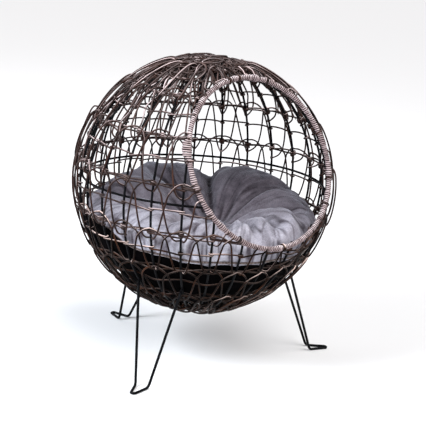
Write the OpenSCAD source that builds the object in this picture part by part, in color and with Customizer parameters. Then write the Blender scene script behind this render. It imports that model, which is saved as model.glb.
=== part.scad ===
// Ball-shaped wicker pet bed on three hairpin legs, with a loose round cushion.
// The origin is on the floor under the ball's axis. +Z is up and the opening faces -Y.
// An azimuth is turned about +Z from -Y towards +X, and a latitude is measured from the ball's centre.

/* [Ball] */
// Diameter over the weave
ball_d = 456; // [404:2:520]
// Height of the ball's centre above the floor
centre_h = 307; // [290:1:340]

/* [Steel frame] */
// Number of upright ribs round the ball
rib_count = 26; // [24:2:28]
// Azimuth of the first rib
first_rib = -59.44; // [-62:0.01:-57]
// Diameter of the rib and waist rods
rod_d = 4; // [3:0.1:4.4]
// Radius of the hub rings that gather the ribs at the top and the bottom
hub_r = 30; // [26:1:36]
// Diameter of the hub rings' rod
hub_rod_d = 5; // [4:0.5:6]
// Height of the waist ring above the ball's centre
waist_z = 8.6; // [4:0.1:12]

/* [Opening] */
// Upward tilt of the opening's axis
opening_tilt = 24.75; // [20:0.25:30]
// Radius of the rim's centre line
rim_r = 144.7; // [130:0.1:150]
// Diameter of the rim's steel rod
rim_rod_d = 4.6; // [4:0.1:5]
// Diameter of the rim over its wrapping
rim_d = 8.4; // [7.6:0.1:8.4]

/* [Weave] */
// Diameter of a wicker strand
strand_d = 3; // [2.4:0.1:3.2]
// Clear space between one layer of strands and the next
layer_gap = 0.5; // [0.4:0.05:0.6]

/* [Legs] */
// Diameter of the leg wire
wire_d = 4.6; // [4:0.1:5]
// Half of the space between a leg's two wires at the ankle
ankle_half = 11.5; // [9:0.5:14]
// Length of a foot from its ankle to its toe
foot_len = 38; // [30:1:45]
// Half of a foot's width at the toe
toe_half = 4.5; // [4:0.5:8]
// Latitude at which the wires are welded to the ribs
weld_lat = -41.4; // [-44:0.1:-40]

/* [Cushion] */
// Height of the cushion's seam below the ball's centre
seam_drop = 76; // [70:1:85]
// Height of the cushion's padded edge below the ball's centre
crown_drop = 12; // [8:1:30]
// Height of the pinched centre below the ball's centre
dip_drop = 62; // [50:1:70]
// Height of the cushion's flat underside below the ball's centre
base_drop = 201; // [180:1:204]
// Thickness of the plush cover and of the base cloth
cloth_t = 2; // [1:0.5:3]

/* [Hidden] */
$fn = 48;
ball_r = ball_d / 2;
bay = 360 / rib_count;
layer = strand_d + layer_gap;

// Radii of the layers about the ball's centre: the second loop layer ends at the ball's surface
loop_b_r = ball_r - strand_d / 2;
loop_a_r = loop_b_r - layer;
ring_r = loop_a_r - layer;
rib_r = ring_r - strand_d / 2 - layer_gap - rod_d / 2;
waist_r = rib_r - rod_d - 0.3;

// The rim's wrapping passes just outside the ribs
rim_ball_r = rib_r + rod_d / 2 + 0.3 + rim_d / 2;
rim_angle = asin(rim_r / rim_ball_r);
rim_plane = rim_ball_r * cos(rim_angle);
// Strands stop this far from the rim, as an angle at the ball's centre
strand_stop = 2.6;
strand_angle = rim_angle + strand_stop;
// A rib that only grazes the opening runs on behind the rim
graze = 0.985;

hub_lat = acos(hub_r / rib_r);
rib_end_lat = hub_lat - asin((hub_rod_d / 2 + 0.3) / rib_r);

// Latitudes of the horizontal strands. Every second one, from the first, runs through the loops' eyes
ring_lats = [72, 62, 52, 41.5, 31, 21.4, 10.7, -0.5, -10.3, -19, -28.3, -36.5, -47, -57];
crown_lats = [75.4, 77.7, 80];
base_lats = [-67, -72, -76, -80];
// Latitudes of the eyes between which each band of loops runs
eye_lats = [72, 52, 31, 10.7, -10.3, -28.3, -47, -67];
// A loop's round top stands over its upper eye line, and its narrow foot hangs under the lower one
loop_over = 2;
loop_under = 4.4;
loop_steps = 4;
loop_sides = 3;
loop_round = 1.7;

// Each leg as [rib that it is centred on, azimuth of its foot, radius of its ankle]
legs = [[0, -58.8, 214], [9, 66, 220], [17, -175.3, 198]];

bowl_r = rib_r - rod_d / 2 - 4;
shoulder_r = 140;
shoulder_w = 61;
shoulder_h = 43;
fill_gap = 0.3;

// Radius of the wire's centre line at the ankles, and the facets of its bends and of its section
bend_r = 9;
bend_steps = 5;
toe_steps = 8;
wire_sides = 12;
weld_r = rib_r + rod_d / 2 + wire_d / 2 + 0.3;

function two(n) = n < 10 ? str("0", n) : str(n);
RIBS = [for (i = [1 : rib_count]) str("rib_", two(i))];
RINGS = [for (i = [1 : len(ring_lats)]) str("ring_strand_", two(i))];
LOOPS = [for (i = [1 : len(eye_lats) - 1]) str("loop_strands_", i)];
LEGS = ["leg_front_left", "leg_right", "leg_rear"];

steel = "#1b1b1d";
wicker = "#4a3530";
wrap = "#6f5a55";
plush = "#8f8990";

// Point at an azimuth and a latitude on a ball of radius r about the ball's centre
function on_ball(azimuth, lat, r) =
    [r * cos(lat) * sin(azimuth), -r * cos(lat) * cos(azimuth), centre_h + r * sin(lat)];

// Angle between the opening's axis and the direction of an azimuth and a latitude
function from_axis(azimuth, lat) =
    acos(cos(lat) * cos(azimuth) * cos(opening_tilt) + sin(lat) * sin(opening_tilt));

// Half of the azimuth range in which a circle of latitude is inside an angle of the axis
function cut_half(lat, angle) =
    let (c = (cos(angle) - sin(lat) * sin(opening_tilt)) / (cos(lat) * cos(opening_tilt)))
    c >= 1 ? 0 : acos(c);

// A rod along a meridian, from one latitude to another
module meridian_rod(azimuth, from_lat, to_lat) {
    translate([0, 0, centre_h])
        rotate([0, 0, azimuth - 90])
            rotate([90, 0, 0])
                rotate([0, 0, from_lat])
                    rotate_extrude(angle = to_lat - from_lat)
                        translate([rib_r, 0])
                            circle(d = rod_d);
}

// A rod along a circle of latitude on a ball of radius r, left out for half_gap each side of -Y
module latitude_rod(lat, r, d, half_gap = 0) {
    translate([0, 0, centre_h + r * sin(lat)])
        rotate([0, 0, half_gap - 90])
            rotate_extrude(angle = 360 - 2 * half_gap)
                translate([r * cos(lat), 0])
                    circle(d = d);
}

// One rib from hub to hub. A rib that meets the opening is welded to the rim above and below it
module rib(i) {
    azimuth = first_rib + i * bay;
    a = cos(opening_tilt) * cos(azimuth);
    b = sin(opening_tilt);
    ratio = cos(rim_angle) / sqrt(a * a + b * b);
    cut = azimuth < 90 && ratio < graze;
    color(steel)
        if (cut) {
            middle = atan2(b, a);
            half = acos(ratio);
            meridian_rod(azimuth, -rib_end_lat, middle - half);
            meridian_rod(azimuth, middle + half, rib_end_lat);
        } else {
            meridian_rod(azimuth, -rib_end_lat, rib_end_lat);
        }
}

module hub(side) {
    color(steel) latitude_rod(side * hub_lat, rib_r, hub_rod_d);
}

// The waist ring runs inside the ribs and stops at the rim
module waist_ring() {
    lat = asin(waist_z / waist_r);
    color(steel) latitude_rod(lat, waist_r, rod_d, cut_half(lat, rim_angle));
}

// Turns the flat rim into the plane of the opening
module on_opening() {
    translate([0, 0, centre_h])
        rotate([90 - opening_tilt, 0, 0])
            translate([0, 0, rim_plane])
                children();
}

module rim_ring() {
    color(steel)
        on_opening()
            rotate_extrude()
                translate([rim_r, 0])
                    circle(d = rim_rod_d);
}

// The wrapping is wound tightly round the rim's rod
module rim_wrap() {
    color(wrap)
        on_opening()
            rotate_extrude()
                translate([rim_r, 0])
                    difference() {
                        circle(d = rim_d);
                        circle(d = rim_rod_d + 0.6);
                    }
}

module ring_strand(i) {
    color(wicker)
        latitude_rod(ring_lats[i], ring_r, strand_d, cut_half(ring_lats[i], strand_angle));
}

module crown_weave() {
    color(wicker) for (lat = crown_lats) latitude_rod(lat, ring_r, strand_d);
}

module base_weave() {
    color(wicker) for (lat = base_lats) latitude_rod(lat, ring_r, strand_d);
}

// Latitude of a loop strand t bays from the first rib: a round top at one rib, a narrow foot at the next
function loop_lat(t, top, foot) =
    let (u = abs(t - 2 * round(t / 2)))
    foot + (top - foot) * (1 - pow(u, loop_round));

// Joins a row of cross sections into a closed solid
function tube_caps(n, sides) = [
    [for (s = [sides - 1 : -1 : 0]) s],
    [for (s = [0 : sides - 1]) (n - 1) * sides + s],
];
function tube_walls(n, sides, closed) = [
    for (i = [0 : n - (closed ? 1 : 2)], s = [0 : sides - 1])
        let (a = i * sides, b = ((i + 1) % n) * sides, e = (s + 1) % sides)
            for (f = [[a + s, a + e, b + e], [a + s, b + e, b + s]]) f
];

// Cross section at point i of a path. Its first corner looks out from the ball, or along a given way
function section(path, i, closed, d, sides, way) =
    let (
        n = len(path),
        here = path[i],
        before = path[closed ? (i + n - 1) % n : max(i - 1, 0)],
        after = path[closed ? (i + 1) % n : min(i + 1, n - 1)],
        along = (after - before) / norm(after - before),
        facing = is_undef(way) ? here - [0, 0, centre_h] : way,
        side = cross(along, facing),
        across = side / norm(side),
        up = cross(across, along)
    )
    [for (s = [0 : sides - 1])
        here + d / 2 * (cos(360 * s / sides) * up + sin(360 * s / sides) * across)];

// A tube of diameter d along a path
module tube_along(path, closed, d, sides, way = undef) {
    sections = [for (i = [0 : len(path) - 1]) section(path, i, closed, d, sides, way)];
    walls = tube_walls(len(path), sides, closed);
    polyhedron(
        points = [for (s = sections) each s],
        faces = closed ? walls : concat(tube_caps(len(path), sides), walls),
        convexity = 10
    );
}

// One looping strand round the ball, in as many runs as the opening leaves of it
module loop_strand(top, foot, r, shift) {
    total = rib_count * loop_steps;
    function azimuth(k) = first_rib + bay * (k / loop_steps + shift);
    function lat(k) = loop_lat(k / loop_steps, top, foot);
    function clear(k) = from_axis(azimuth(k), lat(k)) > strand_angle;
    points = [for (k = [0 : total - 1]) on_ball(azimuth(k), lat(k), r)];
    kept = [for (k = [0 : total - 1]) clear(k)];
    starts = [for (k = [0 : total - 1]) if (kept[k] && !kept[(k + total - 1) % total]) k];
    if (len(starts) == 0) {
        tube_along(points, true, strand_d, loop_sides);
    }
    for (start = starts) {
        ends = [for (k = [start : start + total - 1]) if (!kept[(k + 1) % total]) k];
        if (ends[0] > start) {
            run = [for (k = [start : ends[0]]) points[k % total]];
            tube_along(run, false, strand_d, loop_sides);
        }
    }
}

// Two strands that loop in turn, one bay apart, between two lines of eyes
module loop_strands(i) {
    top = eye_lats[i] + loop_over;
    foot = eye_lats[i + 1] - loop_under;
    color(wicker) {
        loop_strand(top, foot, loop_a_r, 0);
        loop_strand(top, foot, loop_b_r, 1);
    }
}

// Points round the corner that a wire makes at b on its way from a to c
function corner(a, b, c) =
    let (
        into = (b - a) / norm(b - a),
        onward = (c - b) / norm(c - b),
        turn = acos(into * onward),
        start = b - into * bend_r * tan(turn / 2),
        inward = cross(cross(into, onward), into),
        centre = start + bend_r * inward / norm(inward)
    )
    [for (k = [0 : bend_steps])
        let (angle = turn * k / bend_steps)
            centre + bend_r * (sin(angle) * into - cos(angle) * inward / norm(inward))];

// Line of a leg's wire: down one side to the floor, round the toe and back up the other side
function leg_line(i) =
    let (
        own = first_rib + legs[i][0] * bay,
        foot_azimuth = legs[i][1],
        out = [sin(foot_azimuth), -cos(foot_azimuth), 0],
        aside = [cos(foot_azimuth), sin(foot_azimuth), 0],
        low = [0, 0, wire_d / 2],
        toe_r = legs[i][2] + foot_len - toe_half - wire_d / 2,
        weld = [for (side = [-1, 1]) on_ball(own + side * bay, weld_lat, weld_r)],
        ankle = [for (side = [-1, 1]) out * legs[i][2] + aside * side * ankle_half + low],
        toe = [for (side = [-1, 1]) out * toe_r + aside * side * toe_half + low]
    )
    concat(
        [weld[0]],
        corner(weld[0], ankle[0], toe[0]),
        [for (k = [0 : toe_steps])
            let (angle = 180 * k / toe_steps)
                out * toe_r + low + toe_half * (sin(angle) * out - cos(angle) * aside)],
        corner(toe[1], ankle[1], weld[1]),
        [weld[1]]
    );

// A hairpin leg, bent from one wire and welded to the ribs either side of its own rib
module leg(i) {
    foot_azimuth = legs[i][1];
    side_on = [sin(foot_azimuth), -cos(foot_azimuth), 1];
    color(steel) tube_along(leg_line(i), false, wire_d, wire_sides, side_on);
}

// Height of the cushion's dished top above its pinched centre, at radius r, as a share of its rise
function dish(r) = pow(sin(90 * r / shoulder_r), 2);

// Half outline of the cushion's upper part, drawn inset by some cloth, from its centre to its seam
function upper_outline(inset) =
    let (
        middle = crown_drop + shoulder_h,
        last = asin((middle - seam_drop) / (shoulder_h - inset)),
        steps = 10
    )
    concat(
        [for (i = [0 : 12])
            let (r = shoulder_r * i / 12)
                [r, -dip_drop + (dip_drop - crown_drop) * dish(r) - inset]],
        [for (i = [1 : steps])
            let (a = 90 - (90 - last) * i / steps)
                [shoulder_r + (shoulder_w - inset) * cos(a),
                 -middle + (shoulder_h - inset) * sin(a)]]
    );

// Half outline of the cushion's lower bowl, from its seam to the middle of its underside
function lower_outline(inset) =
    let (r = bowl_r - inset, low = base_drop - inset, steps = 12,
         first = asin(seam_drop / r), last = asin(low / r))
    concat(
        [for (i = [0 : steps])
            let (a = first + (last - first) * i / steps)
                [r * cos(a), -r * sin(a)]],
        [[0, -low]]
    );

function reversed(list) = [for (i = [len(list) - 1 : -1 : 0]) list[i]];

module turned(outline) {
    translate([0, 0, centre_h]) rotate_extrude() polygon(outline);
}

// Plush upper cover
module cushion_cover() {
    outer = upper_outline(0);
    inner = upper_outline(cloth_t);
    color(plush) turned(concat(outer, reversed(inner)));
}

// Cloth underside, which follows the bowl of ribs
module cushion_base() {
    outer = lower_outline(0);
    inner = lower_outline(cloth_t);
    color("#151416") translate([0, 0, -layer_gap]) turned(concat(outer, reversed(inner)));
}

// Loose fibre filling inside the two cloths
module cushion_fill() {
    upper = upper_outline(cloth_t + fill_gap);
    lower = lower_outline(cloth_t + fill_gap + layer_gap);
    color("white") turned(concat(upper, lower));
}

for (i = [0 : rib_count - 1]) rib(i);
for (i = [0 : len(RINGS) - 1]) ring_strand(i);
for (i = [0 : len(LOOPS) - 1]) loop_strands(i);
for (i = [0 : len(LEGS) - 1]) leg(i);
hub(1);  // top_hub
hub(-1);  // bottom_hub
waist_ring();
rim_ring();
rim_wrap();
crown_weave();
base_weave();
cushion_cover();
cushion_base();
cushion_fill();
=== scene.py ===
import math

import bpy
import numpy as np
from mathutils import Matrix, Vector, noise


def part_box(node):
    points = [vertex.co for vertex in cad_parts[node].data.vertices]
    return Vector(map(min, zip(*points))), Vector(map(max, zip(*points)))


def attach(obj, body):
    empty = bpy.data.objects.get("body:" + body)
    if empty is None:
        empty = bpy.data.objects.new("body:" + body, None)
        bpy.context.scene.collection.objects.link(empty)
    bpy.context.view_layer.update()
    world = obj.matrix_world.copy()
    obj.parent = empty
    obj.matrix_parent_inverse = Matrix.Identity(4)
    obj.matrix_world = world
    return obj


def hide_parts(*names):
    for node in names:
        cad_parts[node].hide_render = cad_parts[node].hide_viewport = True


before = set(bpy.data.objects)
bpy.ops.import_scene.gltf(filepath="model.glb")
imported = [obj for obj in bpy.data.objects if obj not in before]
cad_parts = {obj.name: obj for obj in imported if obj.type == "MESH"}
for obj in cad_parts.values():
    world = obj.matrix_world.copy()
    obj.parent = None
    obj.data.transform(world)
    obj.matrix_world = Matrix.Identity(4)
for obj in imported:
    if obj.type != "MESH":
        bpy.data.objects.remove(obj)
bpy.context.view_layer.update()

# A ball-shaped wicker pet bed. Lengths are in metres and angles in degrees. An azimuth is turned
# about +Z from -Y towards +X, and a latitude is measured from the ball's centre.

MM = 0.001
RIB_COUNT = 26
BAY = 360 / RIB_COUNT
FIRST_RIB = -59.44
RIB_AZIMUTHS = [FIRST_RIB + BAY * k for k in range(RIB_COUNT)]
ROD = 4.0 * MM
RIM_D = 8.4 * MM
TILT = math.radians(24.75)

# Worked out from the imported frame: the ball's middle and radius, a strand's thickness, and the rim
rib_low, rib_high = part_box("rib_20")
CENTRE = np.array([0.0, 0.0, (rib_low.z + rib_high.z) / 2])
side_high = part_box("rib_12")[1]
RIB_R = (side_high.x - ROD / 2) / math.sin(math.radians(FIRST_RIB + 11 * BAY))
ring_low, ring_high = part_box("ring_strand_12")
STRAND = ring_high.z - ring_low.z
rim_low, rim_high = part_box("rim_wrap")
RIM_R = (rim_high.x - rim_low.x - RIM_D) / 2
RIM_MIDDLE = np.array([0.0, (rim_low.y + rim_high.y) / 2, (rim_low.z + rim_high.z) / 2])
RIM_AXIS = np.array([0.0, -math.cos(TILT), math.sin(TILT)])
RIM_UP = np.array([0.0, math.sin(TILT), math.cos(TILT)])
RIM_ANGLE = math.degrees(math.atan2(RIM_R, np.linalg.norm(RIM_MIDDLE - CENTRE)))
WRAP_R = ROD / 2 + STRAND / 2

# Latitudes of the level strands, and of the rows of eye knots where looping strands meet
RING_LATS = [72, 62, 52, 41.5, 31, 21.4, 10.7, -0.5, -10.3, -19, -28.3, -36.5, -47, -57]
EYE_LATS = [72, 52, 31, 10.7, -10.3, -28.3, -47, -67]
# Below the first of these latitudes the strands take a darker copy of the cane, as painted shade, and below
# the second they pass over one rib and under the next, as in a basket
SHADE_LAT = -15
BASKET_LAT = -25
# How far, in degrees, loose strands stay off the rim
RIM_GAP = 2

chance = np.random.RandomState(7)
draw = chance.uniform


# ---- geometry

def unit(v):
    return v / np.linalg.norm(v, axis=-1, keepdims=True)


def out_of(azimuth, lat):
    """Unit vectors from the ball's centre."""
    a, b = np.radians(azimuth), np.radians(lat)
    return np.stack([np.cos(b) * np.sin(a), -np.cos(b) * np.cos(a), np.sin(b) + 0 * a], -1)


def east_of(azimuth):
    """Unit vectors that point along a circle of latitude."""
    a = np.radians(azimuth)
    return np.stack([np.cos(a), np.sin(a), 0 * a], -1)


def north_of(azimuth, lat):
    """Unit vectors that point up along the ball."""
    return np.cross(out_of(azimuth, lat), east_of(azimuth))


def on_ball(azimuth, lat, r):
    return CENTRE + out_of(azimuth, lat) * np.asarray(r)[..., None]


def smooth(points, per, closed=False):
    """A smooth curve through the points given, with per points for each."""
    p = np.asarray(points, float)
    if closed:
        p = np.vstack([p[-1], p, p[0], p[1]])
    else:
        p = np.vstack([2 * p[0] - p[1], p, 2 * p[-1] - p[-2]])
    a, b, c, d = (p[i : len(p) - 3 + i, None] for i in range(4))
    t = (np.arange(per) / per)[None, :, None]
    curve = 0.5 * (2 * b + (c - a) * t + (2 * a - 5 * b + 4 * c - d) * t**2
                   + (3 * b - a - 3 * c + d) * t**3)
    curve = curve.reshape(-1, 3)
    return curve if closed else np.vstack([curve, p[-2]])


def normals_along(path, closed):
    """Two normals at each point of a path, which turn as little as they can along it."""
    after, before = np.roll(path, -1, 0), np.roll(path, 1, 0)
    if not closed:
        after[-1], before[0] = path[-1], path[0]
    tangent = unit(after - before)
    start = np.cross(tangent[0], [0.3, 0.2, 0.9])
    normal = [start / np.linalg.norm(start)]
    for t in tangent[1:]:
        n = normal[-1] - t * normal[-1].dot(t)
        normal.append(n / np.linalg.norm(n))
    normal = np.array(normal)
    side = np.cross(tangent, normal)
    if closed:
        last = normal[-1] - tangent[0] * normal[-1].dot(tangent[0])
        turn = math.atan2(last.dot(side[0]), last.dot(normal[0]))
        angle = -turn * np.arange(len(path)) / len(path)
        cos, sin = np.cos(angle)[:, None], np.sin(angle)[:, None]
        normal, side = normal * cos + side * sin, side * cos - normal * sin
    return normal, side


class Tubes:
    """Collects tubes swept along paths, and makes one mesh object of them."""

    def __init__(self):
        self.points, self.faces, self.marks, self.count = [], [], [], 0

    def add(self, path, radius, sides=8, closed=False, taper=0.0, axes=None, aspect=1.0):
        n = len(path)
        normal, side = axes or normals_along(path, closed)
        radius = np.broadcast_to(radius, n)
        if taper:
            ends = np.minimum(np.arange(n), np.arange(n)[::-1])
            radius = radius * np.minimum(1, taper + (1 - taper) * ends / 2)
        angle = np.arange(sides) / sides * 2 * math.pi
        cos, sin = np.cos(angle), np.sin(angle)
        ring = cos[:, None] * normal[:, None] * aspect + sin[:, None] * side[:, None]
        points = path[:, None] + ring * radius[:, None, None]
        step = np.linalg.norm(np.diff(path, axis=0), axis=1)
        along = np.concatenate([[0], np.cumsum(step)]) + draw(0, 50)
        marks = np.stack(np.broadcast_arrays(along[:, None], cos, sin), -1)
        i = np.arange(n if closed else n - 1)[:, None]
        s = np.arange(sides)[None]
        here, there = i * sides, (i + 1) % n * sides
        quads = np.stack([here + s, here + (s + 1) % sides, there + (s + 1) % sides, there + s], -1)
        self.faces += (quads.reshape(-1, 4) + self.count).tolist()
        if not closed:
            self.faces.append([self.count + k for k in range(sides)][::-1])
            self.faces.append([self.count + (n - 1) * sides + k for k in range(sides)])
        self.points.append(points.reshape(-1, 3))
        self.marks.append(marks.reshape(-1, 3))
        self.count += n * sides

    def build(self, name, material):
        return mesh_object(name, np.vstack(self.points), self.faces, material, np.vstack(self.marks))


def give(owner, **values):
    """Sets properties of a Blender object."""
    for key, value in values.items():
        setattr(owner, key, value)


def new_object(name, data):
    obj = bpy.data.objects.new(name, data)
    bpy.context.scene.collection.objects.link(obj)
    return obj


def mesh_object(name, points, faces, material, marks=None):
    mesh = bpy.data.meshes.new(name)
    mesh.from_pydata(np.asarray(points).tolist(), [], faces)
    mesh.shade_smooth()
    if marks is not None:
        attribute = mesh.attributes.new("strand", "FLOAT_VECTOR", "POINT")
        attribute.data.foreach_set("vector", np.asarray(marks, np.float32).ravel())
    mesh.validate()
    mesh.materials.append(material)
    return new_object(name, mesh)


def lay(tubes, path, per=3, closed=False):
    """Adds a wicker strand that runs smoothly through the points given, thinner at its ends."""
    tubes.add(smooth(path, per, closed), STRAND / 2, closed=closed, taper=0.4)


def place(obj, body, slot, *nodes):
    """Puts a piece on its body and hides the CAD nodes that it stands for. The slot, which names its finish,
    is not used.
    """
    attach(obj, body)
    if nodes:
        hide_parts(*nodes)


# ---- materials

class Paint:
    """A Principled material and short calls to add its nodes."""

    def __init__(self, name, **values):
        self.material = bpy.data.materials.new(name)
        self.material.use_nodes = True
        self.nodes = self.material.node_tree.nodes
        self.links = self.material.node_tree.links
        self.shader = self.nodes["Principled BSDF"]
        for key, value in values.items():
            self.shader.inputs[key.replace("_", " ")].default_value = value

    def node(self, kind, **values):
        made = self.nodes.new(kind)
        for key, value in values.items():
            if key in made.inputs:
                made.inputs[key].default_value = value
            else:
                setattr(made, key, value)
        return made

    def noise(self, source, stretch, scale=1.0, detail=4.0, roughness=0.6):
        """Noise over a source of places, which is scaled by stretch first."""
        mapping = self.node("ShaderNodeMapping", Scale=stretch)
        self.links.new(source, mapping.inputs["Vector"])
        noise = self.node("ShaderNodeTexNoise", Scale=scale, Detail=detail, Roughness=roughness)
        self.links.new(mapping.outputs["Vector"], noise.inputs["Vector"])
        return noise.outputs["Fac"]

    def ramp(self, fac, *stops):
        """Colours at positions from 0 to 1."""
        made = self.nodes.new("ShaderNodeValToRGB")
        elements = made.color_ramp.elements
        for position, colour in stops[1:-1]:
            elements.new(position).color = (*colour, 1)
        for end in (0, -1):
            elements[end].position = stops[end][0]
            elements[end].color = (*stops[end][1], 1)
        self.links.new(fac, made.inputs["Fac"])
        return made.outputs["Color"]

    def mix(self, fac, a, b, blend="MIX"):
        """Two colours blended: each input is a socket or a value."""
        made = self.node("ShaderNodeMix", data_type="RGBA", blend_type=blend)
        for value, socket in ((fac, made.inputs[0]), (a, made.inputs[6]), (b, made.inputs[7])):
            if isinstance(value, bpy.types.NodeSocket):
                self.links.new(value, socket)
            else:
                socket.default_value = value
        return made.outputs[2]

    def span(self, fac, low, high):
        """A value that runs from 0 to 1, made to run from low to high."""
        made = self.node("ShaderNodeMapRange", clamp=False)
        made.inputs["To Min"].default_value = low
        made.inputs["To Max"].default_value = high
        self.links.new(fac, made.inputs["Value"])
        return made.outputs["Result"]

    def bump(self, height, strength, distance, below=None):
        """A bumpy normal, which can lie over another one below it."""
        made = self.node("ShaderNodeBump", Strength=strength, Distance=distance)
        self.links.new(height, made.inputs["Height"])
        if below is not None:
            self.links.new(below, made.inputs["Normal"])
        return made.outputs["Normal"]

    def places(self):
        """Where each point is, in the piece's own frame."""
        return self.node("ShaderNodeTexCoord").outputs["Object"]

    def part_z(self, vector):
        """The Z part of a vector."""
        made = self.node("ShaderNodeSeparateXYZ")
        self.links.new(vector, made.inputs["Vector"])
        return made.outputs["Z"]

    def set(self, key, socket):
        """Feeds one of the shader's inputs."""
        self.links.new(socket, self.shader.inputs[key])


def grey(value):
    return (value, value, value)


def wicker_material(name, dark, middle, light, highlight_colour, highlight_strength, start, groove_shade=0.0, gloss=0.16):
    """Stained cane: fibres along it, patches of colour, and a painted highlight in patches on sides that
    face up, from where their slope passes start. Groove shade is how much painted shade darkens its flanks,
    in the grooves beside its neighbours, and cane without it has its painted highlight on one side of the
    strand only."""
    paint = Paint(name, Specular_IOR_Level=gloss)
    strand = paint.node("ShaderNodeAttribute", attribute_name="strand").outputs["Vector"]
    patches = paint.noise(strand, (28, 0.5, 0.5), detail=3)
    highlight_patches = paint.noise(strand, (11, 0.4, 0.4), detail=2)
    fibres = paint.noise(strand, (90, 5, 5), detail=5, roughness=0.7)
    colour = paint.ramp(patches, (0.3, dark), (0.52, middle), (0.74, light))
    upward = paint.part_z(paint.node("ShaderNodeNewGeometry").outputs["Normal"])
    across = paint.part_z(strand)
    # Painted highlight: sides that face up take the highlight colour, in patches, and only on one side of
    # the strand where there is no groove shade
    upward_highlight = paint.ramp(upward, (start, grey(0)), (start + 0.6, grey(highlight_strength)))
    highlight_mask = paint.ramp(highlight_patches, (0.4, grey(0.06)), (0.58, grey(1.0)))
    highlight_mask = paint.mix(1.0, upward_highlight, highlight_mask, "MULTIPLY")
    if not groove_shade:
        lit_side = paint.ramp(across, (0.1, grey(0.12)), (0.55, grey(1.0)))
        highlight_mask = paint.mix(1.0, highlight_mask, lit_side, "MULTIPLY")
    colour = paint.mix(highlight_mask, colour, (*highlight_colour, 1))
    streaks = paint.ramp(fibres, (0.32, (0.45, 0.42, 0.42)), (0.62, (1.15, 1.1, 1.08)))
    colour = paint.mix(0.85, colour, streaks, "MULTIPLY")
    # Painted shade in the grooves: the flat cane's flanks are darker where its turns meet
    if groove_shade:
        flank = paint.node("ShaderNodeMath", operation="ABSOLUTE")
        paint.links.new(across, flank.inputs[0])
        painted_groove_shade = paint.ramp(flank.outputs[0], (0.35, grey(1.0)), (0.75, (0.06, 0.04, 0.045)))
        colour = paint.mix(groove_shade, colour, painted_groove_shade, "MULTIPLY")
    paint.set("Base Color", colour)
    paint.set("Roughness", paint.span(fibres, 0.3, 0.52))
    paint.set("Normal", paint.bump(fibres, 0.45, 0.0004))
    return paint.material


def steel_material():
    """Black powder coat: fine orange peel and slightly rubbed patches."""
    paint = Paint("black_powder_coat", Specular_IOR_Level=0.06)
    at = paint.places()
    peel = paint.noise(at, (900, 900, 900), detail=2)
    rub = paint.noise(at, (45, 45, 45), detail=4)
    colour = paint.ramp(rub, (0.35, (0.0015, 0.0015, 0.002)), (0.7, (0.005, 0.005, 0.0065)))
    paint.set("Base Color", colour)
    paint.set("Roughness", paint.span(rub, 0.34, 0.5))
    paint.set("Normal", paint.bump(peel, 0.25, 0.0002))
    return paint.material


# The way towards which the cushion's colour is painted lighter, as painted light, and darker away from it,
# and how fast it lightens, per metre
PAINTED_LIGHT_AZIMUTH = -42.0
PAINTED_LIGHT_SLOPE = 2.0


def plush_material():
    """Short-pile plush: fine tufts, a soft sheen, brushed patches, and painted light that makes it lighter
    towards one side and darker away from it.
    """
    paint = Paint("grey_plush", Roughness=0.95, Sheen_Weight=0.45, Sheen_Roughness=0.45,
                  Sheen_Tint=(0.84, 0.86, 1.0, 1), Specular_IOR_Level=0.12)
    at = paint.places()
    brushed = paint.noise(at, (22, 16, 24), detail=6, roughness=0.68)
    tufts = paint.noise(at, (520, 520, 520), detail=3, roughness=0.7)
    fibres = paint.noise(at, (1500, 900, 1500), detail=2)
    # Painted light and shade: lighter towards one side and darker away from it, mixed with the brushed
    # patches
    side = paint.node("ShaderNodeVectorMath", operation="DOT_PRODUCT")
    paint.links.new(at, side.inputs[0])
    side.inputs[1].default_value = tuple(PAINTED_LIGHT_SLOPE * out_of(PAINTED_LIGHT_AZIMUTH, 0))
    brushing_and_painted_light = paint.node("ShaderNodeMath", operation="MULTIPLY_ADD")
    paint.links.new(brushed, brushing_and_painted_light.inputs[0])
    brushing_and_painted_light.inputs[1].default_value = 0.85
    paint.links.new(side.outputs["Value"], brushing_and_painted_light.inputs[2])
    colour = paint.ramp(brushing_and_painted_light.outputs[0], (0.02, (0.028, 0.022, 0.028)), (0.2, (0.07, 0.06, 0.074)),
                        (0.36, (0.14, 0.124, 0.148)), (0.536, (0.23, 0.215, 0.25)),
                        (0.728, (0.41, 0.4, 0.46)), (0.92, (0.68, 0.68, 0.77)))
    shade = paint.ramp(tufts, (0.3, (0.62, 0.6, 0.62)), (0.65, (1.08, 1.07, 1.08)))
    # Painted shade in the folds, gathers and rumples, with darker streaks of pile
    crease_shade_and_streaks = paint.span(paint.node("ShaderNodeAttribute", attribute_name="crease_shade_and_streaks").outputs["Fac"], 0.5, 1.0)
    painted_crease_shade = paint.ramp(crease_shade_and_streaks, (0.36, grey(1.4)), (0.5, grey(1.0)), (0.9, (0.2, 0.17, 0.18)))
    colour = paint.mix(1.0, colour, painted_crease_shade, "MULTIPLY")
    paint.set("Base Color", paint.mix(0.8, colour, shade, "MULTIPLY"))
    low = paint.bump(tufts, 0.55, 0.0016)
    paint.set("Normal", paint.bump(fibres, 0.4, 0.0006, low))
    return paint.material


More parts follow.
